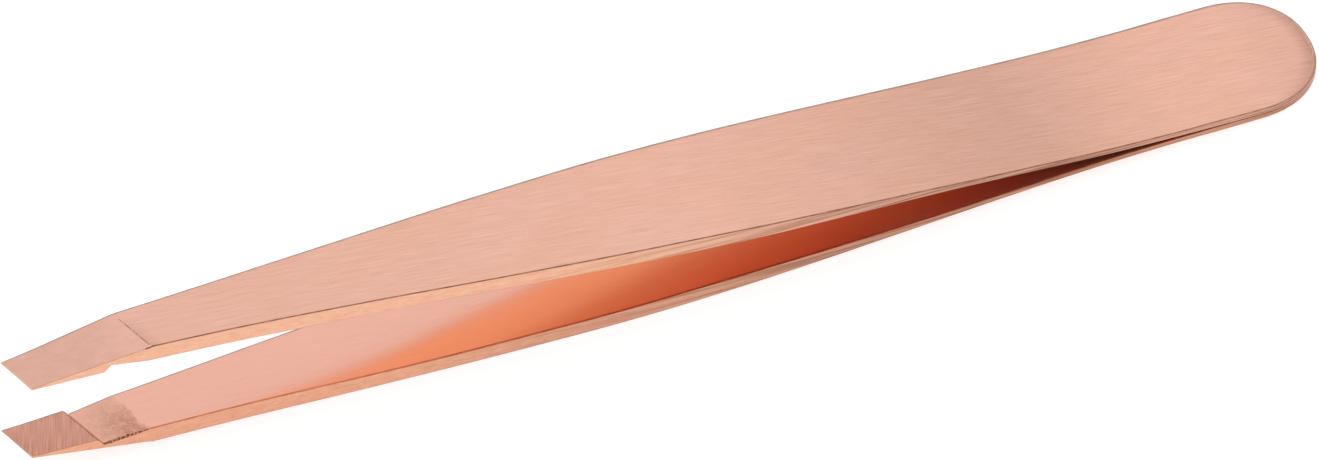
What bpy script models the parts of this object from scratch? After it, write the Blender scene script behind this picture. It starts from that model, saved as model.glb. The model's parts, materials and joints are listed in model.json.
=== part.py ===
"""Slant tweezers: two ground spring arms, spot-welded together at the rounded heel.

The tool is modelled in its own pinch frame and then laid down as it lies on a table.
In the pinch frame X runs from the tips (-X) to the heel end (0), Y runs across the arms,
and Z = 0 is the mid-plane on which the two mirror-image arms close.

Each arm is one springy strip. Its bending is carried by a hinge in the thin part of the
strip, so an arm is two solids here: a heel piece, and a blade that turns on the hinge.
"""

import math

import bmesh
import bpy
import numpy as np
from mathutils import Vector

MM = 0.001
UPPER = 1
LOWER = -1

# Outline, seen square to the arms. Distances run from the heel end towards the tips.
LENGTH = 96.0 * MM
HEEL_END_LENGTH = 5.8 * MM
HEEL_END_POWER = 2.2
HALF_WIDTHS = (
    (6.0, 5.24),
    (24.0, 5.05),
    (40.0, 4.92),
    (50.0, 4.61),
    (60.0, 3.97),
    (72.0, 2.98),
    (84.0, 2.11),
    (96.0, 1.50),
)
TIP_HALF_WIDTH = HALF_WIDTHS[-1][1] * MM
SLANT = math.radians(19.5)
SLANT_FADE_START = 70.0 * MM
SLANT_FADE_END = 84.0 * MM

# Side profile: height of an arm's outer face over the mid-plane, with the arms relaxed.
OUTER_HEIGHTS = (
    (0.0, 0.36),
    (6.0, 0.52),
    (10.5, 0.52),
    (16.0, 0.66),
    (24.0, 1.17),
    (32.0, 1.84),
    (40.0, 2.51),
    (50.0, 3.27),
    (60.0, 3.82),
    (72.0, 4.38),
    (80.0, 4.62),
    (87.0, 4.79),
)
SPRING_THICKNESS = 0.47 * MM
GRIP_THICKNESS = 1.24 * MM
THICKENING_START = 24.0 * MM
THICKENING_END = 49.0 * MM
EDGE_BREAK = 0.12 * MM

# Ground tip. These lengths run back from the slanted tip edge.
FACET_LENGTH = 8.4 * MM
RELIEF_END = 8.2 * MM
PAD_STEP_RUN = 0.45 * MM
PAD_LENGTHS = {UPPER: 5.1 * MM, LOWER: 4.6 * MM}
TIP_OUTER_HEIGHT = 3.47 * MM
PAD_HEIGHT = 3.30 * MM
RELIEF_HEIGHT = 3.80 * MM

# Spot welds between the two heels.
WELD_PLACES = (4.0 * MM, 8.2 * MM)
WELD_RADIUS = 1.50 * MM
WELD_HALF_DEPTH = 0.22 * MM
WELD_CLEARANCE = 0.03 * MM
WELD_SEGMENTS = 32

# The hinge that carries each arm's bending.
HINGE_DISTANCE = 20.0 * MM
HINGE_GAP = 0.30 * MM

# How finely the strips are divided.
HEEL_END_ROWS = 12
HEEL_END_FIRST_ANGLE = math.radians(7.0)
ROW_SPACING = 2.0 * MM
SHARP_ANGLE = math.radians(25.0)

ROSE_GOLD = (0.79, 0.45, 0.34, 1.0)
ROSE_GOLD_ROUGHNESS = 0.32
WELD_METAL = (0.50, 0.31, 0.25, 1.0)
WELD_ROUGHNESS = 0.45

CENTRE_LENGTH = LENGTH - TIP_HALF_WIDTH * math.tan(SLANT)


def smooth_step(start, end, at):
    u = min(max((at - start) / (end - start), 0.0), 1.0)
    return u * u * (3.0 - 2.0 * u)


def joint_slope(before, after):
    """Slope where two stretches of a curve meet, level where either of them is level."""
    if before * after <= 0.0:
        return 0.0
    return 2.0 * before * after / (before + after)


def curve_through(stations, at):
    """Height, in metres, of the smooth curve through stations given in millimetres."""
    places, heights = np.array(stations).T * MM
    steps = np.diff(places)
    slopes = np.diff(heights) / steps
    inner = [joint_slope(a, b) for a, b in zip(slopes, slopes[1:])]
    tangents = [slopes[0], *inner, slopes[-1]]
    i = int(np.clip(np.searchsorted(places, at) - 1, 0, len(steps) - 1))
    u = (at - places[i]) / steps[i]
    lift = u * u * (3.0 - 2.0 * u)
    leave = u * (1.0 - u) ** 2 * steps[i] * tangents[i]
    arrive = u * u * (1.0 - u) * steps[i] * tangents[i + 1]
    return float(heights[i] * (1.0 - lift) + heights[i + 1] * lift + leave - arrive)


def half_width(at):
    """Half of the strip's width, rounded off to nothing at the heel end."""
    if at >= HEEL_END_LENGTH:
        return curve_through(HALF_WIDTHS, at)
    from_centre = (HEEL_END_LENGTH - at) / HEEL_END_LENGTH
    full = curve_through(HALF_WIDTHS, HEEL_END_LENGTH)
    return full * (1.0 - from_centre**HEEL_END_POWER) ** (1.0 / HEEL_END_POWER)


def outer_height(at):
    """Height of the outer face: a bowed strip, then the flat facet ground at the tip."""
    facet_start = CENTRE_LENGTH - FACET_LENGTH
    if at <= facet_start:
        return curve_through(OUTER_HEIGHTS, at)
    along = (at - facet_start) / FACET_LENGTH
    shoulder = curve_through(OUTER_HEIGHTS, facet_start)
    return shoulder + along * (TIP_OUTER_HEIGHT - shoulder)


def back_height(at):
    """Height of the inner face behind the ground tip."""
    thickening = smooth_step(THICKENING_START, THICKENING_END, at)
    thickness = SPRING_THICKNESS + thickening * (GRIP_THICKNESS - SPRING_THICKNESS)
    return outer_height(max(at, HEEL_END_LENGTH)) - thickness


def inner_height(at, side):
    """Height of the inner face: plain strip, hollow relief, step, then gripping pad."""
    from_tip = CENTRE_LENGTH - at
    step_end = PAD_LENGTHS[side]
    step_start = step_end + PAD_STEP_RUN
    if from_tip >= RELIEF_END:
        return back_height(at)
    if from_tip >= step_start:
        along = (RELIEF_END - from_tip) / (RELIEF_END - step_start)
        shoulder = back_height(CENTRE_LENGTH - RELIEF_END)
        return shoulder + along * (RELIEF_HEIGHT - shoulder)
    if from_tip >= step_end:
        along = (step_start - from_tip) / PAD_STEP_RUN
        return RELIEF_HEIGHT + along * (PAD_HEIGHT - RELIEF_HEIGHT)
    return PAD_HEIGHT


def row_places(side):
    """Distances of an arm's cross-sections from the heel end."""
    sweep = np.linspace(HEEL_END_FIRST_ANGLE, math.pi / 2, HEEL_END_ROWS)
    rounded = [HEEL_END_LENGTH * (1.0 - math.cos(angle)) for angle in sweep]
    step_end = PAD_LENGTHS[side]
    from_tip = (FACET_LENGTH, RELIEF_END, step_end + PAD_STEP_RUN, step_end, 0.0)
    ground = [CENTRE_LENGTH - back for back in from_tip]
    count = math.ceil((ground[0] - HEEL_END_LENGTH) / ROW_SPACING)
    plain = np.linspace(HEEL_END_LENGTH, ground[0], count + 1)[1:-1]
    return [*rounded, *plain, *ground]


def strip_section(at, side):
    """The eight corners of a cross-section, its outer and inner edges broken."""
    width = half_width(at)
    outer = outer_height(at)
    inner = inner_height(at, side)
    edge = min(EDGE_BREAK, 0.25 * (outer - inner), 0.25 * width)
    corners = (
        (width - edge, outer),
        (width, outer - edge),
        (width, inner + edge),
        (width - edge, inner),
        (edge - width, inner),
        (-width, inner + edge),
        (-width, outer - edge),
        (edge - width, outer),
    )
    shear = math.tan(SLANT) * smooth_step(SLANT_FADE_START, SLANT_FADE_END, at)
    return [Vector((-at - shear * y, y, side * z)) for y, z in corners]


def clear_scene():
    for obj in list(bpy.data.objects):
        bpy.data.objects.remove(obj, do_unlink=True)


def make_material(name, colour, roughness):
    material = bpy.data.materials.new(name)
    material.use_nodes = True
    shader = material.node_tree.nodes["Principled BSDF"]
    shader.inputs["Base Color"].default_value = colour
    shader.inputs["Metallic"].default_value = 1.0
    shader.inputs["Roughness"].default_value = roughness
    return material


def make_empty(name, location, parent=None):
    empty = bpy.data.objects.new(name, None)
    empty.empty_display_size = HEEL_END_LENGTH
    empty.location = location
    empty.parent = parent
    bpy.context.scene.collection.objects.link(empty)
    return empty


def make_object(name, shape, parent, material):
    """Turns a bmesh into a named object, smooth but for its sharp edges."""
    bmesh.ops.recalc_face_normals(shape, faces=shape.faces)
    mesh = bpy.data.meshes.new(name)
    shape.to_mesh(mesh)
    shape.free()
    mesh.shade_smooth()
    mesh.set_sharp_from_angle(angle=SHARP_ANGLE)
    mesh.materials.append(material)
    obj = bpy.data.objects.new(name, mesh)
    obj.parent = parent
    bpy.context.scene.collection.objects.link(obj)
    return obj


def make_strip(name, places, side, origin, parent, material):
    """One solid stretch of an arm, lofted through its cross-sections."""
    shape = bmesh.new()
    rings = []
    for at in places:
        section = strip_section(at, side)
        rings.append([shape.verts.new(corner - origin) for corner in section])
    for ring, following in zip(rings, rings[1:]):
        for i in range(len(ring)):
            k = (i + 1) % len(ring)
            shape.faces.new((ring[i], ring[k], following[k], following[i]))
    shape.faces.new(rings[0])
    shape.faces.new(rings[-1])
    return make_object(name, shape, parent, material)


def make_disc(name, place, radius, half_depth, parent, material):
    """A disc across the mid-plane, centred at a distance from the heel end."""
    shape = bmesh.new()
    bmesh.ops.create_cone(
        shape,
        cap_ends=True,
        segments=WELD_SEGMENTS,
        radius1=radius,
        radius2=radius,
        depth=2.0 * half_depth,
    )
    disc = make_object(name, shape, parent, material)
    disc.location = (-place, 0.0, 0.0)
    return disc


def make_arm(name, side, frame, material):
    """A heel piece and a blade, with the hinge that stands for the bending between them."""
    height = 0.5 * (outer_height(HINGE_DISTANCE) + inner_height(HINGE_DISTANCE, side))
    pivot = Vector((-HINGE_DISTANCE, 0.0, side * height))
    hinge = make_empty(f"{name}_hinge", pivot, frame)
    heel_end = HINGE_DISTANCE - 0.5 * HINGE_GAP
    blade_start = HINGE_DISTANCE + 0.5 * HINGE_GAP
    rows = row_places(side)
    heel_rows = [at for at in rows if at < heel_end] + [heel_end]
    blade_rows = [blade_start] + [at for at in rows if at > blade_start]
    heel = make_strip(f"{name}_heel", heel_rows, side, Vector(), frame, material)
    blade = make_strip(f"{name}_blade", blade_rows, side, pivot, hinge, material)
    return heel, blade


def make_weld(name, place, heels, frame, material):
    """A weld nugget, and the pocket that its metal fills in each heel."""
    nugget = make_disc(name, place, WELD_RADIUS, WELD_HALF_DEPTH, frame, material)
    pocket = make_disc(
        f"{name}_pocket",
        place,
        WELD_RADIUS + WELD_CLEARANCE,
        WELD_HALF_DEPTH + WELD_CLEARANCE,
        frame,
        material,
    )
    pocket.hide_render = True
    pocket.display_type = "WIRE"
    for heel in heels:
        cut = heel.modifiers.new(f"{name}_cut", "BOOLEAN")
        cut.operation = "DIFFERENCE"
        cut.object = pocket
    return nugget


def resting_tilt():
    """Angle that lays the lower arm down on its heel end and on its belly."""
    foot, *beyond = row_places(LOWER)
    rises = [(outer_height(at) - outer_height(foot)) / (at - foot) for at in beyond]
    return math.atan(max(rises))


def stand_at_origin(frame, pieces):
    """Moves the frame so that the origin is the centre of the object's base."""
    bpy.context.view_layer.update()
    corners = [piece.matrix_world @ v.co for piece in pieces for v in piece.data.vertices]
    low = Vector([min(corner[i] for corner in corners) for i in range(3)])
    high = Vector([max(corner[i] for corner in corners) for i in range(3)])
    middle = 0.5 * (low + high)
    frame.location -= Vector((middle.x, middle.y, low.z))
    bpy.context.view_layer.update()


def main():
    clear_scene()
    rose_gold = make_material("rose_gold_steel", ROSE_GOLD, ROSE_GOLD_ROUGHNESS)
    weld_metal = make_material("weld_metal", WELD_METAL, WELD_ROUGHNESS)
    frame = make_empty("pinch_frame", Vector())
    frame.rotation_euler.y = resting_tilt()
    upper_heel, upper_blade = make_arm("upper_arm", UPPER, frame, rose_gold)
    lower_heel, lower_blade = make_arm("lower_arm", LOWER, frame, rose_gold)
    heels = (upper_heel, lower_heel)
    pieces = [*heels, upper_blade, lower_blade]
    for name, place in zip(("weld_nugget_rear", "weld_nugget_front"), WELD_PLACES):
        pieces.append(make_weld(name, place, heels, frame, weld_metal))
    stand_at_origin(frame, pieces)


main()
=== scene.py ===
"""Looks of the slant tweezers: two rose-gold spring arms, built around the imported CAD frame.

Shapes are worked out in the CAD's pinch frame, in millimetres: X runs from the tips (-X)
to the heel end (0), Y runs across the arms, and Z = 0 is the plane on which the arms
close. `at` is always a distance from the heel end towards the tips, and `across` is a
place on an arm's width, from -1 at its near edge to 1 at its far edge.
"""

import json
import math
from typing import NamedTuple

import bmesh
import bpy
import numpy as np
from mathutils import Matrix, Vector


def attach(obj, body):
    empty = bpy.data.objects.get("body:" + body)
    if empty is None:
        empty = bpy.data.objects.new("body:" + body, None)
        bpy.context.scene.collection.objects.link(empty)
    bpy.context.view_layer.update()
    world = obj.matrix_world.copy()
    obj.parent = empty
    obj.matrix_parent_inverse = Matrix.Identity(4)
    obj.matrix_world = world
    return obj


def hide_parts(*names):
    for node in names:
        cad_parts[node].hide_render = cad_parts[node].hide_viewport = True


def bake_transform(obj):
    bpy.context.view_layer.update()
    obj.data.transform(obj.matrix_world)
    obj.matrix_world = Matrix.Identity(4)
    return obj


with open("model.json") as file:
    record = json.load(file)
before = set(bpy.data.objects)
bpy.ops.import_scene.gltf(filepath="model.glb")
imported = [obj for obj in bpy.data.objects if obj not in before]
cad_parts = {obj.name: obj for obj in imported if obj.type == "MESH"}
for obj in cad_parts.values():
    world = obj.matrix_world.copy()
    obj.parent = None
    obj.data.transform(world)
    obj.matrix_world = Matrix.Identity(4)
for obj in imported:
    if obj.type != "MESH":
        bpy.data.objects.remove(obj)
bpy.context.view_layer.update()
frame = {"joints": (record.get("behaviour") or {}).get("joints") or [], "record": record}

MM = 0.001
UPPER, LOWER = 1, -1

# ---------------------------------------------------------------- the CAD's own numbers
LENGTH = 96.0
HEEL_END_LENGTH = 5.8
HEEL_END_START = HEEL_END_LENGTH * (1.0 - math.cos(math.radians(7.0)))
HEEL_END_POWER = 2.2
HALF_WIDTHS = (
    (6.0, 5.24), (24.0, 5.05), (40.0, 4.92), (50.0, 4.61),
    (60.0, 3.97), (72.0, 2.98), (84.0, 2.11), (96.0, 1.50),
)
OUTER_HEIGHTS = (
    (0.0, 0.36), (6.0, 0.52), (10.5, 0.52), (16.0, 0.66), (24.0, 1.17), (32.0, 1.84),
    (40.0, 2.51), (50.0, 3.27), (60.0, 3.82), (72.0, 4.38), (80.0, 4.62), (87.0, 4.79),
)
SLANT = math.radians(19.5)
SLANT_FADE = (70.0, 84.0)
SPRING_THICKNESS, GRIP_THICKNESS = 0.47, 1.24
THICKENING = (24.0, 49.0)
FACET_LENGTH, RELIEF_END, PAD_STEP_RUN = 8.4, 8.2, 0.45
PAD_LENGTHS = {UPPER: 5.1, LOWER: 4.6}
TIP_OUTER_HEIGHT, PAD_HEIGHT, RELIEF_HEIGHT = 3.47, 3.30, 3.80
WELD_PLACES = {"weld_nugget_rear": 4.0, "weld_nugget_front": 8.2}
WELD_RADIUS, WELD_HALF_DEPTH = 1.5, 0.22
HINGE_DISTANCE = 20.0
CENTRE_LENGTH = LENGTH - HALF_WIDTHS[-1][1] * math.tan(SLANT)
FACET_START = CENTRE_LENGTH - FACET_LENGTH
RELIEF_START = CENTRE_LENGTH - RELIEF_END

# ---------------------------------------------------------------- detail that only shows
OUTER_EDGE, INNER_EDGE = 0.07, 0.07          # rounding of an arm's long edges on the near side
FAR_OUTER_EDGE, FAR_INNER_EDGE = 0.16, 0.12  # and on the far side, which is worn rounder
FAR_EDGE_GROWTH = (1.0, 6.0)                 # the stretch over which the far side grows rounder
HEEL_INNER_SHARE = 0.18                      # the share of INNER_EDGE that is left at the heel
INNER_EDGE_GROWTH = (3.5, 13.0)              # the stretch over which it grows to the whole
MOST_EDGE, MOST_BURR = 0.3, 0.35             # no edge takes more than this share of the thickness
TIP_CORNER, TIP_EDGE = 0.09, 0.035           # rounding of the slanted tip, in plan and in section
HEEL_ROLL, HEEL_ROLL_DEPTH = 1.25, 0.06      # soft roll-off along the rim of the heel end
HEEL_ROLL_FADE = (4.0, 10.0)                 # the stretch over which it dies out
HEEL_CONTACT = 0.036                         # each heel's inner face comes in this much further
HEEL_CONTACT_FADE = (8.5, 12.0)
FACET_STEP, FACET_STEP_RUN = 0.05, 0.09      # the little shoulder that the facet's grinding left
FACET_STEP_FADE = (-0.6, 0.5)                # it dies out across the arm
FACET_SOFTNESS, FAR_FACET_SOFTNESS = 0.0012, 0.03  # how soft its rear line is, and how much more
FACET_SOFTENING = (0.3, 1.0)                 # it is by the far edge, and where across this grows
CREASE_ENDS = (-0.88, 0.6)                   # where across the arm the line of painted shade on it ends
DENT_DEPTH, DENT_PLACE, DENT_REACH = 0.015, 0.15, 0.4  # where the facet's rear line meets the side
INNER_SWELL = 0.15                           # the grip is this much thicker behind the relief
INNER_SWELL_GROWTH = (66.0, 79.0)
STEP_REACH = 1.6                             # the rounded step is worked out this far behind a pad
STEP_FOOT_SOFTNESS, STEP_TOP_SOFTNESS = 0.012, 0.010
RIM_LINE = 0.12                              # line of painted shade along the rear rim of a pad
PAD_MARGIN = 0.01                            # and the pad's finish starts this far in front of it
RELIEF_MARGIN = 0.6                          # the relief's finish starts this far behind it
# The burr along the relief's near edge: how deep it bites, how far apart its teeth are, the
# stretch over which it starts, and the distance behind the pad at which its metal and painted shadow end.
BURR_LEAST, BURR_MOST, BURR_POWER = 0.02, 0.13, 1.5
BURR_SPACING, BURR_SEEDS = 0.16, {UPPER: 11, LOWER: 23}
BURR_FADE, BURR_FROM_PAD = 2.2, 0.3
INNER_LINE_START = 4.0                       # from here on the lower arm's inner edge carries a line of painted shade
SIDE_EDGE_START = 0.4                        # this far past the facet's rear line the edge is bright
FAR_LINE_START = 1.0                         # from here on the faces carry a pale painted reflection by the far edge

# ---------------------------------------------------------------- fineness of the arms' mesh
FACE_COLUMNS, SIDE_COLUMNS, FILLET_STEPS = 16, 4, 3
HEEL_ROWS, ROUNDING_ROWS, STEP_ROWS = 33, 5, 5
ROW_SPACING, TIP_ROW_SPACING, PAD_STEP_SPACING, PAD_STEP_MARGIN = 0.6, 0.12, 0.03, 0.25
HEEL_ROW_GAP, TIP_ROW_GAP = 0.5, 0.2
ROWS_BY_CREASE = (0.45, 0.3, 0.2, 0.13, 0.08, 0.04, 0.02, 0.0)
ROWS_BY_RELIEF = (0.1, 0.05, 0.02, 0.0)
LEAST_ROW_SPACING = 0.0035
SLOPE_STEP = 0.01  # for the slope at the last station
TINY = 1e-6        # keeps a width of nothing out of the divisions

# ---------------------------------------------------------------- camera and light
# Where the photograph was taken from, in the pinch frame: angles in degrees, lengths in mm.
CAMERA_AZIMUTH, CAMERA_ELEVATION, CAMERA_ROLL = -23.594, 46.999, 1.732
CAMERA_DISTANCE, CAMERA_LEFTWARD, CAMERA_DOWNWARD = 1198.7, 0.457, 0.378
CAMERA_LENS, CAMERA_SENSOR = 479.2, 36.0
CAMERA_CLIP = (0.05, 20.0)
# The reflector: lengths in mm, and its brightness by distance along it from the arms' middle.
PANEL_DISTANCE, PANEL_SHIFT = 300.0, -20.0
PANEL_HALF_LENGTH, PANEL_HALF_WIDTH = 260.0, 190.0
PANEL_STRENGTH = 1.07
PANEL_STOPS = (
    (-280.0, 0.86), (-130.0, 0.86), (-60.0, 0.92), (20.0, 0.96),
    (66.0, 0.99), (84.0, 0.93), (112.0, 0.42), (240.0, 0.42),
)
FLOOR_HALF_SIZE, FLOOR_GREY, FLOOR_GLOW = 12.0, 0.50, 0.70  # the half size is in metres
KEY_PLACE, KEY_SIZE, KEY_POWER = (-0.9, 0.9, 1.5), 0.9, 1.5  # in metres and watts
GLOSSY_BOUNCES, ALL_BOUNCES = 10, 14

# ---------------------------------------------------------------- pinch frame from the record
mounts = {m["name"]: m for m in frame["record"]["mounts"]}
Z_AXIS = Vector(mounts["upper_heel_face"]["axis"]).normalized()
X_AXIS = Vector((Z_AXIS.z, 0.0, -Z_AXIS.x))
hinges = [Vector(joint["pos_m"]) for joint in frame["joints"]]
ORIGIN = sum(hinges, Vector()) / len(hinges) + X_AXIS * HINGE_DISTANCE * MM
PINCH_AXES = Matrix((X_AXIS, Vector((0, 1, 0)), Z_AXIS)).transposed()
PINCH = Matrix.Translation(ORIGIN) @ PINCH_AXES.to_4x4()
PINCH_MM = PINCH @ Matrix.Scale(MM, 4)


def add_object(name, data):
    obj = bpy.data.objects.new(name, data)
    bpy.context.scene.collection.objects.link(obj)
    return obj


def mesh_of(name, shape):
    """The bmesh as a mesh. The bmesh is freed."""
    mesh = bpy.data.meshes.new(name)
    shape.to_mesh(mesh)
    shape.free()
    return mesh


def grid_mesh(name, segments, half_size):
    shape = bmesh.new()
    bmesh.ops.create_grid(shape, x_segments=segments, y_segments=segments, size=half_size)
    return mesh_of(name, shape)


# ---------------------------------------------------------------- curves of the arm
def smooth(start, end, at):
    """An eased rise from 0 at `start` to 1 at `end`."""
    u = np.clip((np.asarray(at, float) - start) / (end - start), 0.0, 1.0)
    return u * u * (3.0 - 2.0 * u)


def curve_through(stations, at):
    """A smooth curve through (place, height) stations that doesn't overshoot them."""
    places, heights = np.array(stations).T
    steps = np.diff(places)
    slopes = np.diff(heights) / steps
    inner = [0.0 if a * b <= 0 else 2 * a * b / (a + b) for a, b in zip(slopes, slopes[1:])]
    tangents = np.array([slopes[0], *inner, slopes[-1]])
    at = np.asarray(at, float)
    i = np.clip(np.searchsorted(places, at) - 1, 0, len(steps) - 1)
    u = (at - places[i]) / steps[i]
    lift = u * u * (3.0 - 2.0 * u)
    leave = u * (1.0 - u) ** 2 * steps[i] * tangents[i]
    arrive = u * u * (1.0 - u) * steps[i] * tangents[i + 1]
    return heights[i] * (1.0 - lift) + heights[i + 1] * lift + leave - arrive


def quarter(radius, end, at):
    """How far a quarter round of this radius, ending at `end`, has turned in at `at`."""
    run = np.clip(np.asarray(at, float) - (end - radius), 0.0, radius)
    return radius - np.sqrt(np.maximum(radius * radius - run * run, 0.0))


def soft_min(a, b, k):
    """The smaller of two heights, rounded where they cross: the larger k, the rounder."""
    return -k * np.logaddexp(-a / k, -b / k)


def soft_max(a, b, k):
    """The larger of two heights, rounded where they cross in the same way."""
    return k * np.logaddexp(a / k, b / k)


def half_width(at):
    """Half the arm's width, which narrows to a rounded end at the heel."""
    at = np.asarray(at, float)
    full = curve_through(HALF_WIDTHS, np.maximum(at, HEEL_END_LENGTH))
    back = np.clip((HEEL_END_LENGTH - at) / (HEEL_END_LENGTH - HEEL_END_START), 0.0, 1.0)
    return full * (1.0 - back**HEEL_END_POWER) ** (1.0 / HEEL_END_POWER)


def bowed_height(at):
    """The outer face before the tip is ground."""
    end, top = OUTER_HEIGHTS[-1]
    before = curve_through(OUTER_HEIGHTS, end - SLOPE_STEP)
    rise = (curve_through(OUTER_HEIGHTS, end) - before) / SLOPE_STEP
    at = np.asarray(at, float)
    return np.where(at <= end, curve_through(OUTER_HEIGHTS, np.minimum(at, end)), top + (at - end) * rise)


def outer_height(at, across):
    """The outer face. The ground facet's rear line is crisp near the viewer and fades far off."""
    shoulder = float(bowed_height(FACET_START))
    along = (at - FACET_START) / FACET_LENGTH
    facet = shoulder + along * (TIP_OUTER_HEIGHT - shoulder)
    softness = FACET_SOFTNESS + FAR_FACET_SOFTNESS * smooth(*FACET_SOFTENING, across)
    depth = FACET_STEP * (1.0 - smooth(*FACET_STEP_FADE, across)) * (1.0 - np.clip(along, 0.0, 1.0))
    step = depth * smooth(FACET_START, FACET_START + FACET_STEP_RUN, at)
    return soft_min(bowed_height(at), facet, softness) - step - quarter(TIP_EDGE, CENTRE_LENGTH, at)


def back_height(at):
    """The strip's inner face before the relief is ground."""
    thickening = smooth(*THICKENING, at)
    thickness = SPRING_THICKNESS + thickening * (GRIP_THICKNESS - SPRING_THICKNESS)
    thickness = thickness + INNER_SWELL * smooth(*INNER_SWELL_GROWTH, at)
    contact = HEEL_CONTACT * (1.0 - smooth(*HEEL_CONTACT_FADE, at))
    return bowed_height(np.maximum(at, HEEL_END_LENGTH)) - thickness - contact


def inner_height(at, side):
    """The inner face: strip, hollow relief, rounded step down, then the gripping pad."""
    from_tip = CENTRE_LENGTH - np.asarray(at, float)
    step_end = PAD_LENGTHS[side]
    step_start = step_end + PAD_STEP_RUN
    in_relief = (RELIEF_END - from_tip) / (RELIEF_END - step_start)
    in_step = (step_start - from_tip) / PAD_STEP_RUN
    shoulder = float(back_height(RELIEF_START))
    relief = shoulder + in_relief * (RELIEF_HEIGHT - shoulder)
    step = RELIEF_HEIGHT + in_step * (PAD_HEIGHT - RELIEF_HEIGHT)
    hollow = np.where(from_tip >= RELIEF_END, back_height(at), relief)
    stepped = soft_max(soft_min(relief, step, STEP_FOOT_SOFTNESS), PAD_HEIGHT, STEP_TOP_SOFTNESS)
    height = np.where(from_tip > step_end + STEP_REACH, hollow, stepped)
    return height + quarter(TIP_EDGE, CENTRE_LENGTH, at)


def row_places(side):
    """Where the arm's cross-sections stand: closer together where its shape turns."""
    sweep = np.linspace(0.0, math.pi / 2, HEEL_ROWS)
    places = list(HEEL_END_LENGTH - (HEEL_END_LENGTH - HEEL_END_START) * np.cos(sweep))
    places += list(np.arange(HEEL_END_LENGTH + HEEL_ROW_GAP, FACET_START - ROW_SPACING, ROW_SPACING))
    places += list(np.arange(FACET_START + ROW_SPACING, CENTRE_LENGTH - TIP_ROW_GAP, TIP_ROW_SPACING))
    for middle, backs in ((FACET_START, ROWS_BY_CREASE), (RELIEF_START, ROWS_BY_RELIEF)):
        places += [middle + turn * back for back in backs for turn in (-1, 1)]
    places += list(np.linspace(FACET_START, FACET_START + FACET_STEP_RUN, STEP_ROWS))
    step = CENTRE_LENGTH - PAD_LENGTHS[side]
    step_start, step_end = step - PAD_STEP_RUN - PAD_STEP_MARGIN, step + PAD_STEP_MARGIN
    places += list(np.arange(step_start, step_end, PAD_STEP_SPACING))
    for radius in (TIP_CORNER, TIP_EDGE):
        sweep = np.linspace(0, math.pi / 2, ROUNDING_ROWS)
        places += [CENTRE_LENGTH - radius * (1.0 - math.sin(a)) for a in sweep]
    places = np.unique(np.round(places, 5))
    keep = np.concatenate([[True], np.diff(places) > LEAST_ROW_SPACING])
    keep[-1] = True
    return places[keep]


class Edge(NamedTuple):
    """Where a cross-section meets one of the plan's long edges."""

    point: np.ndarray
    out: np.ndarray  # outward normal
    run: float  # distance along the edge from the heel's end, negative at the near edge


def plan_edges(places):
    """The near and the far edge at every place, and both together as one line round the heel."""
    width = half_width(places) - quarter(TIP_CORNER, CENTRE_LENGTH, places)
    shear = math.tan(SLANT) * smooth(*SLANT_FADE, places)
    near = np.stack([-places + shear * width, -width], 1)
    far = np.stack([-places - shear * width, width], 1)
    line = np.concatenate([near[::-1], far[1:]])
    step = np.diff(line, axis=0)
    length = np.linalg.norm(step, axis=1)
    normal = np.stack([step[:, 1], -step[:, 0]], 1) / length[:, None]
    weight = 1.0 / length
    out = np.empty_like(line)
    out[0], out[-1] = normal[0], normal[-1]
    out[1:-1] = normal[:-1] * weight[:-1, None] + normal[1:] * weight[1:, None]
    out /= np.linalg.norm(out, axis=1)[:, None]
    run = np.concatenate([[0.0], np.cumsum(length)])
    run -= run[len(near) - 1]
    edges = [Edge(*values) for values in zip(line, out, run)]
    return edges[: len(near)][::-1], edges[len(near) - 1:], line


# ---------------------------------------------------------------- the arm's mesh
# What a face of the mesh is made of, in the order of the arm's materials.
(OUTER, FACET, SIDE, EDGE, FAR_LINE, INNER_LINE, RIM, CREASE,
 INNER, RELIEF, PAD, BURR) = range(12)
WRAPPED_ROUND = (SIDE, EDGE, FAR_LINE, INNER_LINE, BURR)  # their grain follows the edge
SIDES_APART = 30.0  # keeps the grain of the two sides from being alike


class Corner(NamedTuple):
    """A corner of a cross-section. Its z counts from the mid-plane towards the outer face."""

    x: float
    y: float
    z: float
    run: float
    zone: int  # of the face that starts at this corner

    def uv(self, zone):
        """Distance along the arm or its edge, then across it, in mm."""
        if zone in WRAPPED_ROUND:
            return abs(self.run), SIDES_APART * (1 if self.run > 0 else -1) + self.z
        return -self.x, self.y


def edge_radii(at, side, thickness, ragged):
    """How far the long edges are rounded: near outer, far outer, near inner, far inner."""
    most = MOST_EDGE * thickness
    rounder = float(smooth(*FAR_EDGE_GROWTH, at))
    grown = float(smooth(*INNER_EDGE_GROWTH, at))
    inner = INNER_EDGE * (HEEL_INNER_SHARE + (1.0 - HEEL_INNER_SHARE) * grown)
    far_outer = min(OUTER_EDGE + (FAR_OUTER_EDGE - OUTER_EDGE) * rounder, most)
    far_inner = min(inner + (FAR_INNER_EDGE - INNER_EDGE) * rounder, most)
    near_inner = min(inner, most)
    if PAD_LENGTHS[side] + PAD_STEP_RUN < CENTRE_LENGTH - at < RELIEF_END:
        fading = float(smooth(RELIEF_START, RELIEF_START + BURR_FADE, at))
        burr = (BURR_LEAST + BURR_MOST * ragged**BURR_POWER) * fading
        near_inner = min(INNER_EDGE + burr, MOST_BURR * thickness)
    dent = DENT_DEPTH * math.exp(-(((at - FACET_START - DENT_PLACE) / DENT_REACH) ** 2))
    return min(OUTER_EDGE, most) + dent, far_outer, near_inner, far_inner


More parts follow.
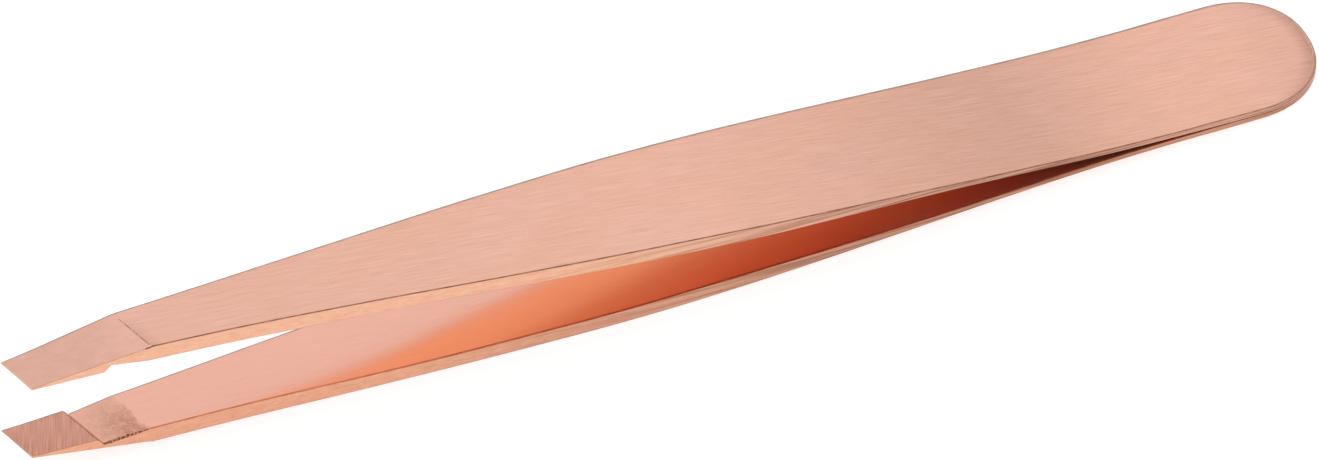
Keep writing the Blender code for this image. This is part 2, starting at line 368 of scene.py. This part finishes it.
def rolled_height(at, near, far, y, rim):
    """The outer face at this y of a cross-section, with the soft rim of the heel end."""
    reach = max(-near.point[1], TINY)
    z = float(outer_height(at, y / reach))
    if at < HEEL_ROLL_FADE[1]:
        x = near.point[0] + (far.point[0] - near.point[0]) * 0.5
        gap = np.min(np.hypot(rim[:, 0] - x, rim[:, 1] - y))
        roll = HEEL_ROLL_DEPTH * max(0.0, 1.0 - gap / HEEL_ROLL) ** 2
        z -= roll * float(1.0 - smooth(*HEEL_ROLL_FADE, at))
    return z


SPREAD = np.sin(np.linspace(-0.5 * math.pi, 0.5 * math.pi, FACE_COLUMNS + 1))
TURNS = np.linspace(0.0, 0.5 * math.pi, FILLET_STEPS + 1)
LEVELS = 0.5 - 0.5 * np.cos(np.linspace(0.0, math.pi, SIDE_COLUMNS + 1))
INNER_FACE_COLUMN = FACE_COLUMNS + 2 * FILLET_STEPS + SIDE_COLUMNS
FAR_COLUMNS = (FACE_COLUMNS - 1, INNER_FACE_COLUMN)  # each face's column by the far edge


def ring_at(at, side, near, far, ragged, rim):
    """The corners of one cross-section: the outer face from near to far, down the far side,
    the inner face back to near, and up the near side."""
    bottom = float(inner_height(at, side))
    thickness = float(outer_height(at, 0.0)) - bottom
    near_outer, far_outer, near_inner, far_inner = edge_radii(at, side, thickness, ragged)
    ring = []

    def then(zone):
        """What follows the newest corner belongs to this zone."""
        ring[-1] = ring[-1]._replace(zone=zone)

    def face(near_radius, far_radius, order, zone, level=None):
        start = near.point - near_radius * near.out
        end = far.point - far_radius * far.out
        for share in order:
            x, y = start + (end - start) * (0.5 + 0.5 * share)
            z = rolled_height(at, near, far, y, rim) if level is None else level
            ring.append(Corner(x, y, z, near.run if share < 0 else far.run, zone))

    def fillet(edge, radius, level, downwards, order):
        for turn in order:
            x, y = edge.point - radius * (1.0 - math.sin(turn)) * edge.out
            z = level - downwards * radius * (1.0 - math.cos(turn))
            ring.append(Corner(x, y, z, edge.run, EDGE))

    def wall(edge, high, low, order):
        for share in order:
            ring.append(Corner(*edge.point, high + (low - high) * share, edge.run, SIDE))

    top_far = rolled_height(at, near, far, far.point[1], rim)
    top_near = rolled_height(at, near, far, near.point[1], rim)
    face(near_outer, far_outer, SPREAD, OUTER)
    then(EDGE)
    fillet(far, far_outer, top_far, 1, TURNS[1:])
    then(SIDE)
    wall(far, top_far - far_outer, bottom + far_inner, LEVELS[1:])
    then(EDGE)
    fillet(far, far_inner, bottom, -1, TURNS[::-1][1:-1])
    face(near_inner, far_inner, SPREAD[::-1], INNER, level=bottom)
    then(EDGE)
    fillet(near, near_inner, bottom, -1, TURNS[1:])
    then(SIDE)
    wall(near, top_near - near_outer, bottom + near_inner, LEVELS[::-1][1:])
    then(EDGE)
    fillet(near, near_outer, top_near, 1, TURNS[::-1][1:-1])
    return ring


def outer_zone(middle, across):
    if middle <= FACET_START:
        return OUTER
    in_step = middle < FACET_START + FACET_STEP_RUN
    return CREASE if in_step and CREASE_ENDS[0] < across < CREASE_ENDS[1] else FACET


def edge_zone(side, middle, across, low):
    from_tip = CENTRE_LENGTH - middle
    if across > 0.0:
        return FAR_LINE
    if low and from_tip < RELIEF_END:
        return BURR if side == LOWER and from_tip > PAD_LENGTHS[side] + BURR_FROM_PAD else SIDE
    if low:
        return INNER_LINE if side == LOWER and middle > INNER_LINE_START else SIDE
    if middle > FACET_START + SIDE_EDGE_START:
        return SIDE
    return RIM if side == LOWER and middle < FACET_START else EDGE


def inner_zone(side, middle):
    from_tip = CENTRE_LENGTH - middle
    if from_tip >= RELIEF_END + RELIEF_MARGIN:
        return INNER
    if from_tip < PAD_LENGTHS[side] - PAD_MARGIN:
        return PAD
    return RELIEF if from_tip > PAD_LENGTHS[side] + RIM_LINE else RIM


def zone_of(side, middle, ring, column):
    """What the face that starts at this corner is made of, midway to the next cross-section."""
    corner, following = ring[column], ring[(column + 1) % len(ring)]
    across = 0.5 * (corner.y + following.y) / max(float(half_width(middle)), TINY)
    zone = corner.zone
    if zone == OUTER:
        zone = outer_zone(middle, across)
    elif zone == EDGE:
        low = corner.z < 0.5 * (ring[0].z + min(c.z for c in ring))
        zone = edge_zone(side, middle, across, low)
    elif zone == INNER:
        zone = inner_zone(side, middle)
    if column not in FAR_COLUMNS:
        return zone
    if zone == PAD:
        return EDGE
    return FAR_LINE if zone in (OUTER, FACET, INNER, RELIEF) and middle > FAR_LINE_START else zone


class StripMesh:
    """Faces between corners. Corners at the same place share one vertex."""

    def __init__(self, side):
        self.side = side
        self.points, self.index, self.faces, self.zones, self.uvs = [], {}, [], [], []

    def vertex(self, corner):
        key = tuple(round(value, 5) for value in corner[:3])
        if key not in self.index:
            self.index[key] = len(self.points)
            self.points.append((corner.x, corner.y, self.side * corner.z))
        return self.index[key]

    def add(self, corners, zone):
        ids = [self.vertex(corner) for corner in corners]
        kept = [k for k in range(len(ids)) if ids[k] != ids[k - 1]]
        if len({ids[k] for k in kept}) < 3:
            return
        if self.side == LOWER:
            kept = kept[::-1]
        self.faces.append([ids[k] for k in kept])
        self.zones.append(zone)
        self.uvs.extend(corners[k].uv(zone) for k in kept)

    def build(self, name, materials):
        """The mesh, with its last face, the tip's end, flat."""
        mesh = bpy.data.meshes.new(name)
        mesh.from_pydata(self.points, [], self.faces)
        mesh.transform(PINCH_MM)
        for material in materials:
            mesh.materials.append(material)
        mesh.polygons.foreach_set("material_index", self.zones)
        unrolled = mesh.uv_layers.new(name="strip")
        unrolled.data.foreach_set("uv", np.array(self.uvs, np.float32).ravel())
        mesh.shade_smooth()
        mesh.polygons[len(self.faces) - 1].use_smooth = False
        mesh.update()
        return mesh


def arm_mesh(name, side, materials):
    places = row_places(side)
    near_edge, far_edge, rim = plan_edges(places)
    rng = np.random.default_rng(BURR_SEEDS[side])
    knots = np.arange(0.0, LENGTH + 1.0, BURR_SPACING)
    ragged = np.interp(places, knots, rng.random(len(knots)))
    rings = [
        ring_at(at, side, near, far, rough, rim)
        for at, near, far, rough in zip(places, near_edge, far_edge, ragged)
    ]
    strip = StripMesh(side)
    for i, (ring, following) in enumerate(zip(rings, rings[1:])):
        middle = 0.5 * (places[i] + places[i + 1])
        for j in range(len(ring)):
            k = (j + 1) % len(ring)
            zone = zone_of(side, middle, ring, j)
            strip.add((ring[j], ring[k], following[k], following[j]), zone)
    strip.add(rings[-1], SIDE)
    return add_object(name, strip.build(name, materials))


# ---------------------------------------------------------------- shader nodes
class Tree:
    """A node tree, with short ways to add what the shaders need."""

    def __init__(self, owner):
        owner.use_nodes = True
        self.nodes, self.links = owner.node_tree.nodes, owner.node_tree.links

    def add(self, kind, **settings):
        node = self.nodes.new(kind)
        for key, value in settings.items():
            setattr(node, key, value)
        return node

    def feed(self, socket, value):
        """Gives a socket a fixed value, or links another node's output to it."""
        if isinstance(value, (int, float)):
            socket.default_value = value
        elif isinstance(value, tuple):
            socket.default_value = (*value, 1.0)
        else:
            self.links.new(value, socket)

    def span(self, value, low, high, to_low=0.0, to_high=1.0, easing="LINEAR"):
        node = self.add("ShaderNodeMapRange", interpolation_type=easing)
        limits = {"From Min": low, "From Max": high, "To Min": to_low, "To Max": to_high}
        for key, number in limits.items():
            node.inputs[key].default_value = number
        self.feed(node.inputs["Value"], value)
        return node.outputs["Result"]

    def maths(self, operation, a, b):
        node = self.add("ShaderNodeMath", operation=operation)
        self.feed(node.inputs[0], a)
        self.feed(node.inputs[1], b)
        return node.outputs["Value"]

    def times(self, a, b):
        return self.maths("MULTIPLY", a, b)

    def plus(self, a, b):
        return self.maths("ADD", a, b)

    def minus(self, a, b):
        return self.maths("SUBTRACT", a, b)

    def mix(self, share, first, second):
        node = self.add("ShaderNodeMix", data_type="RGBA")
        for number, value in ((0, share), (6, first), (7, second)):
            self.feed(node.inputs[number], value)
        return node.outputs[2]


class Metal(Tree):
    """A metal on the unrolled arm, whose UVs are distances along and across it in mm."""

    def __init__(self, name):
        self.material = bpy.data.materials.new(name)
        super().__init__(self.material)
        self.shader = self.nodes["Principled BSDF"]
        self.shader.inputs["Metallic"].default_value = 1.0
        self.strip = None

    def unrolled(self):
        if self.strip is None:
            self.strip = self.add("ShaderNodeUVMap", uv_map="strip").outputs["UV"]
        return self.strip

    def noise(self, length, width, lean=0.0, seed=0.0, detail=2.0, rough=0.5):
        """Grain of this size in mm, leaning by this angle off the arm's own direction."""
        place = self.add("ShaderNodeMapping", vector_type="TEXTURE")
        place.inputs["Location"].default_value = (seed, 1.7 * seed, 0.0)
        place.inputs["Rotation"].default_value = (0.0, 0.0, math.radians(lean))
        place.inputs["Scale"].default_value = (length, width, 1.0)
        grain = self.add("ShaderNodeTexNoise", noise_dimensions="2D")
        grain.inputs["Scale"].default_value = 1.0
        grain.inputs["Detail"].default_value = detail
        grain.inputs["Roughness"].default_value = rough
        self.feed(place.inputs["Vector"], self.unrolled())
        self.feed(grain.inputs["Vector"], place.outputs["Vector"])
        return grain.outputs["Fac"]

    def distance(self):
        """Distance from the heel end, in mm, along the strip."""
        split = self.add("ShaderNodeSeparateXYZ")
        self.feed(split.inputs[0], self.unrolled())
        return split.outputs["X"]

    def offset(self):
        """Distance from the arm's middle line towards its far edge, in mm."""
        split = self.add("ShaderNodeSeparateXYZ")
        self.feed(split.inputs[0], self.unrolled())
        return split.outputs["Y"]

    def sheared_distance(self):
        """Distance from the heel end in rows that run parallel to the slanted tip."""
        return self.minus(self.distance(), self.times(self.offset(), math.tan(SLANT)))

    def colour(self, value):
        self.feed(self.shader.inputs["Base Color"], value)

    def roughness(self, value):
        self.feed(self.shader.inputs["Roughness"], value)

    def bump(self, height, depth):
        """Relief of this depth in mm."""
        node = self.add("ShaderNodeBump")
        node.inputs["Strength"].default_value = 1.0
        node.inputs["Distance"].default_value = depth * MM
        self.feed(node.inputs["Height"], height)
        self.feed(self.shader.inputs["Normal"], node.outputs["Normal"])

    def brushed(self, anisotropy):
        """Highlights stretched across the brushing, which runs along the arm."""
        tangent = self.add("ShaderNodeTangent", direction_type="UV_MAP", uv_map="strip")
        self.feed(self.shader.inputs["Tangent"], tangent.outputs["Tangent"])
        self.shader.inputs["Anisotropic"].default_value = anisotropy
        self.shader.inputs["Anisotropic Rotation"].default_value = 0.25

    def uneven_tone(self, grain, dark, light, dull, shiny, depth, low=0.3, high=0.7):
        """Uneven tone: dark, dull metal where the grain is low, and light where it is high. The
        edge lines of painted shade and painted reflection, and the burr, are drawn with it.
        """
        self.colour(self.mix(self.span(grain, low, high), dark, light))
        self.roughness(self.span(grain, 0.3, 0.7, dull, shiny))
        self.bump(grain, depth)


# ---------------------------------------------------------------- finishes of the arms
INNER_TONES = {
    UPPER: ((0.915, 0.527, 0.310), (0.950, 0.558, 0.340)),
    LOWER: ((0.825, 0.440, 0.342), (0.858, 0.468, 0.366)),
}
# Painted shade in the narrowing gap: how much it darkens the inner faces towards the welds.
PAINTED_GAP_SHADE = (0.920, 0.935, 0.950)
SIDE_NAMES = {UPPER: "upper", LOWER: "lower"}


def outer_finish():
    """Long-grain brushing in short fine streaks, leaning a little off the arm's direction."""
    n = Metal("rose_gold_brushed")
    fine = n.noise(2.0, 0.055, lean=5.8, seed=3.1, detail=3.0, rough=0.6)
    medium = n.noise(5.0, 0.13, lean=5.2, seed=11.7)
    cloud = n.span(n.noise(9.0, 3.5, seed=27.3, detail=1.0), 0.35, 0.65)
    streak = n.plus(n.times(fine, 0.62), n.times(medium, 0.38))
    light = n.mix(cloud, (0.862, 0.498, 0.392), (0.858, 0.490, 0.372))
    dark = n.mix(cloud, (0.748, 0.420, 0.328), (0.742, 0.415, 0.308))
    # Painted shade: a darker band over the spring, rising from 12 mm and gone by 46 mm from
    # the heel end, and a painted shadow a little behind the facet's rear line, strongest by the near
    # edge.
    along = n.distance()
    painted_shade_band = n.times(n.span(along, 12.0, 23.0), n.span(along, 23.0, 46.0, 0.17, 0.0))
    behind = n.span(n.sheared_distance(), FACET_START - 1.0, FACET_START, 0.0, 0.14)
    behind = n.times(behind, n.span(n.offset(), -0.6, 1.6, 1.0, 0.0))
    brushed = n.mix(n.span(streak, 0.33, 0.67), dark, light)
    n.colour(n.mix(n.plus(painted_shade_band, behind), brushed, (0.02, 0.008, 0.005)))
    n.roughness(n.span(streak, 0.33, 0.67, 0.31, 0.22))
    n.bump(streak, 0.0030)
    n.brushed(0.7)
    return n.material


def facet_finish():
    """The ground tip facet: finer, with faint lines straight along the arm."""
    n = Metal("rose_gold_facet")
    fine = n.noise(2.2, 0.05, lean=1.0, seed=41.0, detail=3.0, rough=0.6)
    cloud = n.noise(1.6, 0.8, lean=20.0, seed=45.0, detail=3.0, rough=0.55)
    share = n.plus(n.times(fine, 0.5), n.times(cloud, 0.5))
    ahead = n.span(n.distance(), FACET_START + 0.4, FACET_START + 3.6)
    dark = n.mix(ahead, (0.800, 0.448, 0.356), (0.735, 0.415, 0.326))
    light = n.mix(ahead, (0.872, 0.500, 0.404), (0.808, 0.466, 0.374))
    n.colour(n.mix(n.span(share, 0.36, 0.64), dark, light))
    n.roughness(n.span(share, 0.36, 0.64, 0.34, 0.25))
    n.bump(fine, 0.002)
    n.brushed(0.4)
    return n.material


def side_finish(side):
    """The sides, ground along their length: deeper orange, with long draw lines towards
    the heel and a light mottle towards the tips. Painted shade darkens them towards the heel,
    more on the lower arm's side than on the upper arm's, for the floor's shade that they mirror."""
    n = Metal(f"rose_gold_side_{SIDE_NAMES[side]}")
    long_lines = n.noise(26.0, 0.24, lean=0.5, seed=5.0)
    fine = n.noise(4.5, 0.11, lean=1.2, seed=9.0, detail=3.0, rough=0.65)
    mottle = n.noise(0.9, 0.35, lean=10.0, seed=19.0, detail=3.0, rough=0.6)
    along = n.distance()
    drawn = n.span(n.plus(n.times(long_lines, 0.55), n.times(fine, 0.45)), 0.39, 0.59)
    speckled = n.span(n.plus(n.times(mottle, 0.6), n.times(fine, 0.4)), 0.30, 0.70, 0.35, 1.0)
    near_heel = n.span(along, 52.0, 68.0, 1.0, 0.0)
    share = n.plus(n.times(near_heel, drawn), n.times(n.minus(1.0, near_heel), speckled))
    # Painted shade: both sides darken towards the heel, the lower arm's side more.
    if side == UPPER:
        place = n.span(along, 36.0, 60.0)
        bright = n.mix(place, (0.60, 0.335, 0.250), (0.85, 0.485, 0.330))
        dull = n.mix(place, (0.34, 0.160, 0.105), (0.66, 0.325, 0.205))
    else:
        place = n.span(along, 40.0, 72.0)
        bright = n.mix(place, (0.56, 0.292, 0.198), (0.83, 0.430, 0.285))
        dull = n.mix(place, (0.34, 0.160, 0.100), (0.60, 0.275, 0.165))
    n.colour(n.mix(share, dull, bright))
    n.roughness(n.span(share, 0.0, 1.0, 0.34, 0.22))
    n.bump(share, 0.0012)
    n.brushed(0.5)
    return n.material


def edge_painted_shade():
    """The upper arm's outer edge and the pads' far edges: a line of painted shade, dull, dark
    and a little uneven, and lighter towards the heel."""
    n = Metal("rose_gold_edge")
    grain = n.noise(1.1, 0.5, seed=15.0, detail=3.0, rough=0.6)
    place = n.span(n.distance(), 6.0, 20.0)
    dark = n.mix(place, (0.40, 0.190, 0.125), (0.27, 0.120, 0.078))
    light = n.mix(place, (0.58, 0.290, 0.195), (0.46, 0.215, 0.140))
    n.uneven_tone(grain, dark, light, dull=0.42, shiny=0.30, depth=0.003)
    return n.material


def painted_far_reflection():
    """The far edges, rounder from wear, with a painted greyish reflection that makes them greyer
    than the faces beside them.
    """
    n = Metal("rose_gold_far_edge")
    grain = n.noise(1.3, 0.5, seed=21.0, detail=3.0, rough=0.6)
    dark, light = (0.42, 0.282, 0.242), (0.52, 0.350, 0.300)
    n.uneven_tone(grain, dark, light, dull=0.38, shiny=0.28, depth=0.002)
    return n.material


def inner_edge_painted_shade():
    """The lower arm's inner edge: a line of painted shade, bright near the tips, darker and redder
    towards the heel, where the arms close.
    """
    n = Metal("rose_gold_inner_edge")
    grain = n.noise(1.1, 0.5, seed=17.0, detail=3.0, rough=0.6)
    place = n.span(n.distance(), 52.0, 76.0)
    dark = n.mix(place, (0.22, 0.036, 0.011), (0.57, 0.195, 0.098))
    light = n.mix(place, (0.36, 0.078, 0.028), (0.71, 0.285, 0.160))
    n.uneven_tone(grain, dark, light, dull=0.40, shiny=0.28, depth=0.003)
    n.shader.inputs["Specular Tint"].default_value = (0.80, 0.28, 0.15, 1.0)
    return n.material


def painted_rim_shade():
    """The dark lines of painted shade: the rear rim of a pad, where it steps down, and the lower
    arm's outer edge.
    """
    n = Metal("rose_gold_dark_edge")
    grain = n.noise(0.5, 0.5, seed=33.0, detail=3.0, rough=0.6)
    dark, light = (0.13, 0.052, 0.034), (0.27, 0.120, 0.082)
    n.uneven_tone(grain, dark, light, dull=0.50, shiny=0.36, depth=0.003)
    return n.material


def painted_crease_shade():
    """The line of painted shade where the facet's grinding stopped: reddish, broken and uneven."""
    n = Metal("rose_gold_crease")
    grain = n.noise(0.25, 0.55, seed=37.0, detail=3.0, rough=0.6)
    dark, light = (0.34, 0.145, 0.100), (0.68, 0.350, 0.270)
    n.uneven_tone(grain, dark, light, dull=0.42, shiny=0.30, depth=0.003, low=0.34, high=0.66)
    return n.material


def inner_colour(n, side):
    """Unshaded tone towards the tips, darkened by painted shade towards the welds, where the
    gap between the arms narrows.
    """
    fine = n.noise(3.0, 0.09, lean=3.0, seed=61.0, detail=3.0, rough=0.6)
    tones = INNER_TONES[side]
    share = n.span(fine, 0.3, 0.7)
    unshaded = n.mix(share, *tones)
    gap_shaded = n.mix(share, *(tuple(c * t for c, t in zip(tone, PAINTED_GAP_SHADE)) for tone in tones))
    return fine, n.mix(n.span(n.distance(), 22.0, 46.0), gap_shaded, unshaded)


def inner_finish(side):
    """The smooth inner face, which mirrors the other arm and dulls towards the welds."""
    n = Metal(f"rose_gold_inner_{SIDE_NAMES[side]}")
    fine, colour = inner_colour(n, side)
    cloud = n.noise(12.0, 2.5, seed=65.0)
    along = n.distance()
    dull = n.span(along, 28.0, 60.0, 0.09, 0.0)
    n.colour(colour)
    n.roughness(n.plus(n.span(cloud, 0.3, 0.7, 0.15, 0.19), dull))
    n.feed(n.shader.inputs["Metallic"], n.span(along, 26.0, 48.0, 0.965, 1.0))
    n.bump(fine, 0.0008)
    n.brushed(0.3)
    return n.material


def relief_finish(side):
    """The hollow behind the pad: blotchy from the grinding wheel, soft at its borders."""
    n = Metal(f"rose_gold_relief_{SIDE_NAMES[side]}")
    _, colour = inner_colour(n, side)
    blotch = n.noise(0.55, 0.40, lean=22.0, seed=71.0, detail=4.0, rough=0.65)
    grain = n.noise(0.16, 0.10, lean=22.0, seed=75.0, rough=0.6)
    wander = n.span(n.noise(1.1, 1.1, seed=79.0), 0.3, 0.7, -0.35, 0.35)
    place = n.plus(n.sheared_distance(), wander)
    ahead = n.span(place, RELIEF_START - 0.05, RELIEF_START + 0.35)
    fading = n.span(place, RELIEF_START + 1.2, RELIEF_START + 3.0, 1.0, 0.30)
    sideways = n.span(n.offset(), -0.2, 1.9, 1.0, 0.25)
    mask = n.times(n.times(ahead, fading), sideways)
    mask = n.times(mask, n.span(blotch, 0.32, 0.56, 0.45, 1.0))
    speckle = n.mix(n.span(grain, 0.35, 0.65), (0.52, 0.262, 0.185), (0.72, 0.395, 0.300))
    n.colour(n.mix(mask, colour, speckle))
    n.roughness(n.span(mask, 0.0, 1.0, 0.17, 0.38))
    n.bump(n.times(mask, grain), 0.010)
    return n.material


def pad_finish():
    """The gripping pad, ground across in fine even lines."""
    n = Metal("rose_gold_pad")
    lines = n.noise(3.0, 0.050, lean=112.3, seed=81.0, detail=1.0)
    cloud = n.noise(1.4, 0.9, seed=85.0)
    share = n.plus(n.times(lines, 0.85), n.times(cloud, 0.15))
    n.colour(n.mix(n.span(share, 0.36, 0.64), (0.56, 0.262, 0.195), (0.71, 0.362, 0.278)))
    n.roughness(n.span(share, 0.36, 0.64, 0.40, 0.28))
    n.bump(lines, 0.006)
    return n.material


def burr_metal_and_shadow():
    """The ragged burr along the near edge of the lower arm's relief: bright ripped metal broken
    by painted shadow in its gaps."""
    n = Metal("rose_gold_burr")
    grain = n.noise(0.30, 0.10, lean=35.0, seed=91.0, detail=3.0, rough=0.6)
    metal_and_shadow_grain = n.minus(grain, n.span(n.distance(), 88.0, 90.5, 0.0, 0.09))
    dark, light = (0.24, 0.075, 0.045), (0.74, 0.40, 0.30)
    n.uneven_tone(metal_and_shadow_grain, dark, light, dull=0.55, shiny=0.30, depth=0.02, low=0.40, high=0.54)
    return n.material


def weld_finish():
    """Fused metal of the spot welds: dull and slightly pitted."""
    n = Metal("weld_metal")
    pits = n.add("ShaderNodeTexNoise")
    pits.inputs["Scale"].default_value = 2600.0
    pits.inputs["Detail"].default_value = 3.0
    n.feed(pits.inputs["Vector"], n.add("ShaderNodeTexCoord").outputs["Object"])
    share = pits.outputs["Fac"]
    n.colour(n.mix(share, (0.36, 0.22, 0.18), (0.60, 0.38, 0.30)))
    n.roughness(n.span(share, 0.0, 1.0, 0.38, 0.62))
    n.bump(share, 0.01)
    return n.material


# ---------------------------------------------------------------- pieces
# Share of the weld's radius and of its half depth, from the middle to the rim.
WELD_PROFILE = (
    (0.0, 0.90), (0.25, 0.93), (0.5, 1.0), (0.62, 0.96),
    (0.78, 0.80), (0.9, 0.55), (0.97, 0.30), (1.0, 0.0),
)
WELD_SEGMENTS = 48


def weld_piece(name, node, place, material):
    """A fused nugget: a lens with a raised ring, centred between the two heels."""
    shape = bmesh.new()
    underside = [(share, -height) for share, height in WELD_PROFILE[-2::-1]]
    rows = []
    for share, height in (*WELD_PROFILE, *underside):
        count = WELD_SEGMENTS if share else 1
        turns = [2 * math.pi * k / WELD_SEGMENTS for k in range(count)]
        radius, z = share * WELD_RADIUS, height * WELD_HALF_DEPTH
        rows.append([
            shape.verts.new((-place + radius * math.cos(turn), radius * math.sin(turn), z))
            for turn in turns
        ])
    for row, following in zip(rows, rows[1:]):
        for k in range(WELD_SEGMENTS):
            m = (k + 1) % WELD_SEGMENTS
            here = [row[k % len(row)], row[m % len(row)]]
            there = [following[m % len(following)], following[k % len(following)]]
            ends = here + there
            shape.faces.new([v for q, v in enumerate(ends) if v is not ends[q - 1]])
    bmesh.ops.recalc_face_normals(shape, faces=shape.faces)
    mesh = mesh_of(name, shape)
    mesh.transform(PINCH_MM)
    mesh.shade_smooth()
    mesh.materials.append(material)
    obj = add_object(name, mesh)
    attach(obj, "heel")
    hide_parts(node)


brushed, facet_metal = outer_finish(), facet_finish()
pad_metal, burr_metal = pad_finish(), burr_metal_and_shadow()
edge_metals = (
    edge_painted_shade(), painted_far_reflection(), inner_edge_painted_shade(), painted_rim_shade(), painted_crease_shade(),
)
for arm_name, arm_side in (("upper_arm", UPPER), ("lower_arm", LOWER)):
    finishes = (
        brushed, facet_metal, side_finish(arm_side), *edge_metals,
        inner_finish(arm_side), relief_finish(arm_side), pad_metal, burr_metal,
    )
    arm = arm_mesh(f"{arm_name}_strip", arm_side, finishes)
    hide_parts(f"{arm_name}_heel", f"{arm_name}_blade")
    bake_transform(arm)
weld_metal = weld_finish()
for node_name, weld_place in WELD_PLACES.items():
    weld_piece(node_name.replace("nugget", "lens"), node_name, weld_place, weld_metal)


# ---------------------------------------------------------------- camera
def camera_axes():
    """The camera's right, up and backward directions in the pinch frame."""
    angles = (CAMERA_AZIMUTH, CAMERA_ELEVATION, CAMERA_ROLL)
    azimuth, elevation, roll = (math.radians(angle) for angle in angles)
    level = Vector((math.sin(azimuth), -math.cos(azimuth), 0.0))
    back = level * math.cos(elevation) + Vector((0.0, 0.0, math.sin(elevation)))
    right = Vector((math.cos(azimuth), math.sin(azimuth), 0.0))
    up = back.cross(right)
    return (
        math.cos(roll) * right + math.sin(roll) * up,
        -math.sin(roll) * right + math.cos(roll) * up,
        back,
    )


right, up, back = camera_axes()
look_at = Vector((-0.5 * LENGTH, 0.0, 0.0))
stand = look_at + back * CAMERA_DISTANCE - right * CAMERA_LEFTWARD - up * CAMERA_DOWNWARD
camera_data = bpy.data.cameras.new("camera")
camera_data.lens = CAMERA_LENS
camera_data.sensor_width = CAMERA_SENSOR
camera_data.clip_start, camera_data.clip_end = CAMERA_CLIP
camera = add_object("camera", camera_data)
camera_turn = Matrix((right, up, back)).transposed().to_4x4()
camera.matrix_world = PINCH @ Matrix.Translation(stand * MM) @ camera_turn
bpy.context.scene.camera = camera


# ---------------------------------------------------------------- floor and light
def make_floor():
    """A plain pale floor that glows a little, so that only a faint shade falls on it."""
    paint = bpy.data.materials.new("floor")
    shader = Tree(paint).nodes["Principled BSDF"]
    shader.inputs["Base Color"].default_value = (FLOOR_GREY, FLOOR_GREY, FLOOR_GREY, 1.0)
    shader.inputs["Roughness"].default_value = 1.0
    shader.inputs["Specular IOR Level"].default_value = 0.0
    shader.inputs["Emission Color"].default_value = (1.0, 1.0, 1.0, 1.0)
    shader.inputs["Emission Strength"].default_value = FLOOR_GLOW
    floor = add_object("floor", grid_mesh("floor", 4, FLOOR_HALF_SIZE))
    floor.data.materials.append(paint)


def make_panel():
    """A soft reflector over the object, bright where its outer faces mirror it to the camera
    and falling off past the heel. Only reflections see it."""
    mirror = Vector((-back.x, -back.y, back.z))
    along = (Vector((1.0, 0.0, 0.0)) - mirror * mirror.x).normalized()
    aside = mirror.cross(along)
    panel = add_object("reflector", grid_mesh("reflector", 2, 1.0))
    centre = look_at + mirror * PANEL_DISTANCE + along * PANEL_SHIFT
    turn = Matrix((along, aside, mirror)).transposed().to_4x4()
    size = Matrix.Diagonal((PANEL_HALF_LENGTH, PANEL_HALF_WIDTH, 1.0, 1.0))
    panel.matrix_world = PINCH_MM @ Matrix.Translation(centre) @ turn @ size
    for sees in ("camera", "diffuse", "transmission", "volume_scatter", "shadow"):
        setattr(panel, f"visible_{sees}", False)
    paint = bpy.data.materials.new("reflector")
    tree = Tree(paint)
    tree.nodes.clear()
    split = tree.add("ShaderNodeSeparateXYZ")
    ramp = tree.add("ShaderNodeValToRGB")
    glow = tree.add("ShaderNodeEmission")
    out = tree.add("ShaderNodeOutputMaterial")
    tree.feed(split.inputs[0], tree.add("ShaderNodeTexCoord").outputs["Generated"])
    tree.feed(ramp.inputs["Fac"], split.outputs["X"])
    tree.feed(glow.inputs["Color"], ramp.outputs["Color"])
    tree.feed(out.inputs["Surface"], glow.outputs["Emission"])
    glow.inputs["Strength"].default_value = PANEL_STRENGTH
    stops = ramp.color_ramp.elements
    while len(stops) < len(PANEL_STOPS):
        stops.new(0.5)
    for stop, (spot, level) in zip(stops, PANEL_STOPS):
        stop.position = (spot - PANEL_SHIFT + PANEL_HALF_LENGTH) / (2.0 * PANEL_HALF_LENGTH)
        stop.color = (level, level, level, 1.0)
    panel.data.materials.append(paint)


def make_world():
    """A bright studio, dimmer from the horizon down, with a dark room behind the camera."""
    world = bpy.data.worlds.new("studio")
    bpy.context.scene.world = world
    tree = Tree(world)
    place = tree.add("ShaderNodeTexCoord").outputs["Generated"]

    def patch(direction, inner, outer, level, beyond):
        """`level` within `inner` degrees of a direction, `beyond` outside `outer` degrees."""
        dot = tree.add("ShaderNodeVectorMath", operation="DOT_PRODUCT")
        dot.inputs[1].default_value = direction
        tree.feed(dot.inputs[0], place)
        wide, narrow = (math.cos(math.radians(angle)) for angle in (outer, inner))
        return tree.span(dot.outputs["Value"], wide, narrow, beyond, level, easing="SMOOTHSTEP")

    room = patch((PINCH.to_3x3() @ back).normalized(), 8.0, 24.0, 0.25, 1.0)
    band = patch(Vector((0.0, 0.0, 1.0)), 66.0, 84.0, 0.97, 0.62)
    light = tree.nodes["Background"]
    light.inputs["Color"].default_value = (1.0, 1.0, 1.0, 1.0)
    tree.feed(light.inputs["Strength"], tree.times(band, room))


def make_key_light():
    data = bpy.data.lights.new("soft_key", "AREA")
    data.shape = "DISK"
    data.size = KEY_SIZE
    data.energy = KEY_POWER
    light = add_object("soft_key", data)
    light.location = KEY_PLACE
    light.rotation_mode = "QUATERNION"
    light.rotation_quaternion = Vector(KEY_PLACE).to_track_quat("Z", "Y")


make_floor()
make_panel()
make_world()
make_key_light()

scene = bpy.context.scene
scene.view_settings.view_transform = "Standard"
scene.cycles.glossy_bounces = GLOSSY_BOUNCES
scene.cycles.max_bounces = ALL_BOUNCES
bpy.context.view_layer.update()
